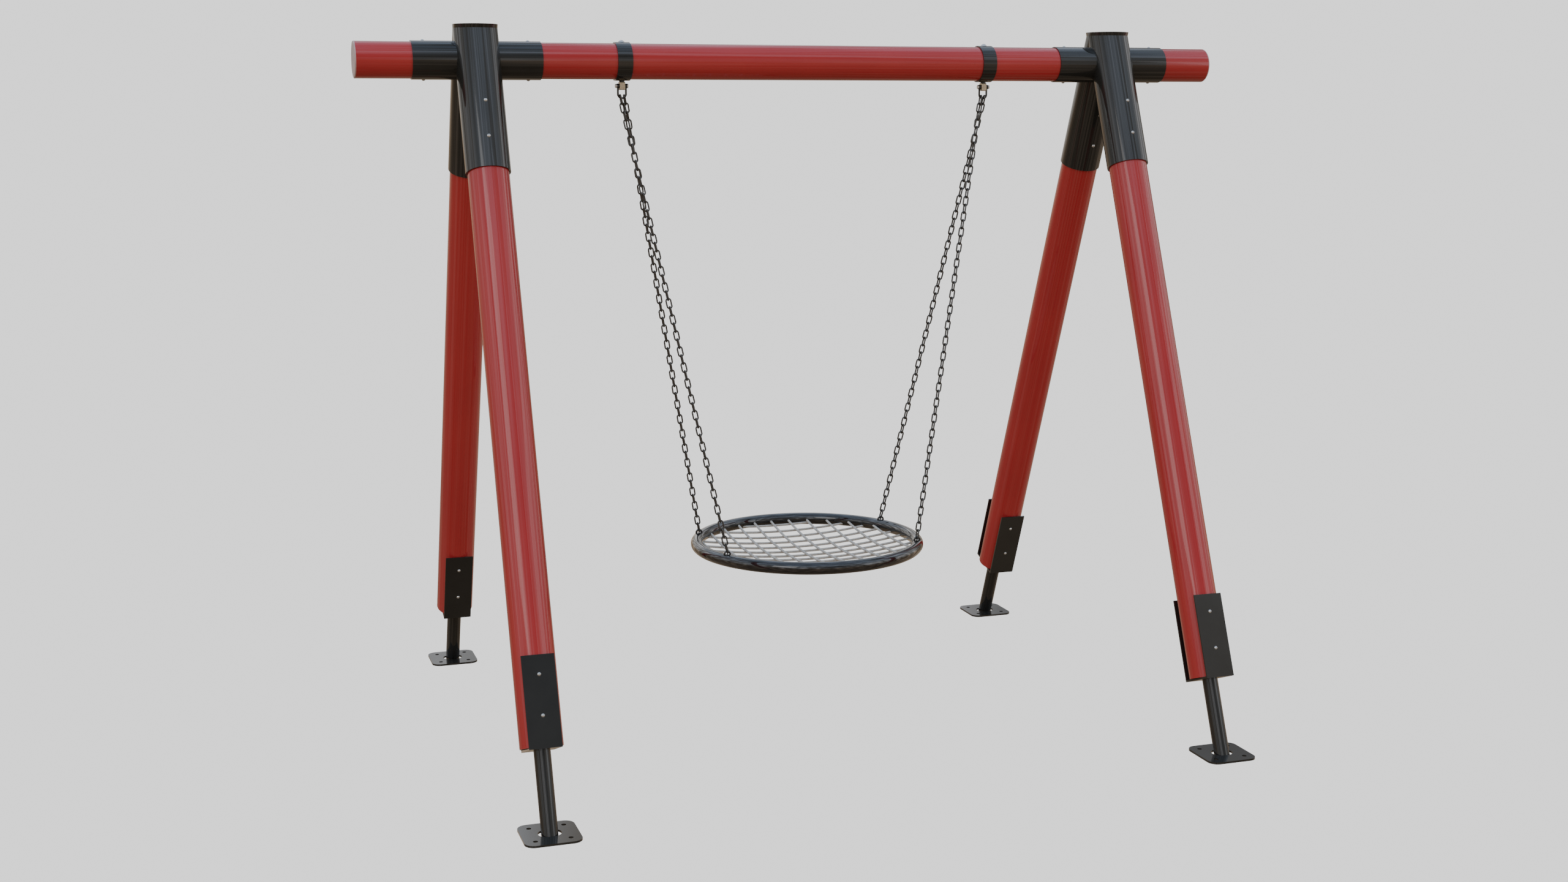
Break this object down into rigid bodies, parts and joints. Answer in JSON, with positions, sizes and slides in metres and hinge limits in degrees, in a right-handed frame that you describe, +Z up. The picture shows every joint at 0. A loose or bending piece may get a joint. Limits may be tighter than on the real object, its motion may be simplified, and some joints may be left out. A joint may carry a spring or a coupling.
{
  "type": "nest swing",
  "caption": "Free-standing nest swing: round-tube beam on A-frame legs, bearing hangers, chains and a round tubular seat ring with a rope net.",
  "frame": {"origin": "on the ground plane midway between the two A-frames, level with the undersides of the four base plates", "axes": "+X along the beam to the right-hand A-frame, +Z up, -Y is the front of the swing"},
  "size_m": [3.68, 2.525, 2.884],
  "materials": {
    "red_paint": "gloss",
    "black_paint": "semi-gloss powder coat",
    "ring_paint": "gloss",
    "cap_plastic": "satin",
    "chain_steel": "dark coated steel",
    "net_rope": "braided rope",
    "bearing_zinc": "yellow zinc plated",
    "bush_plastic": "smooth",
    "fastener_steel": "zinc plated"
  },
  "bodies": {
    "frame": {"base_plate_back_left": "black_paint", "base_plate_back_right": "black_paint", "base_plate_front_left": "black_paint", "base_plate_front_right": "black_paint", "beam_end_caps": "cap_plastic", "beam_tube": "red_paint", "bearing_block_left": "bearing_zinc", "bearing_block_right": "bearing_zinc", "bearing_bush_left": "bush_plastic", "bearing_bush_right": "bush_plastic", "hanger_band_left": "black_paint", "hanger_band_right": "black_paint", "hanger_rod_nuts": "fastener_steel", "hanger_rods": "black_paint", "head_beam_bolts": "fastener_steel", "head_left": "black_paint", "head_leg_bolts": "fastener_steel", "head_right": "black_paint", "leg_back_left": "red_paint", "leg_back_right": "red_paint", "leg_front_left": "red_paint", "leg_front_right": "red_paint", "shoe_back_left": "black_paint", "shoe_back_right": "black_paint", "shoe_bolts": "fastener_steel", "shoe_front_left": "black_paint", "shoe_front_right": "black_paint", "stem_back_left": "black_paint", "stem_back_right": "black_paint", "stem_front_left": "black_paint", "stem_front_right": "black_paint"},
    "swing": {"chain_back_left": "chain_steel", "chain_back_right": "chain_steel", "chain_front_left": "chain_steel", "chain_front_right": "chain_steel", "chain_staples": "ring_paint", "net_ropes_across": "net_rope", "net_ropes_along": "net_rope", "seat_ring": "ring_paint", "shackle_left": "black_paint", "shackle_pin_left": "fastener_steel", "shackle_pin_right": "fastener_steel", "shackle_right": "black_paint"}
  },
  "joints": [
    {"name": "seat_swing", "type": "hinge", "parent": "frame", "child": "swing", "pos_m": [0, 0, 2.65], "axis": [1, 0, 0], "range_deg": [-60, 60]}
  ]
}
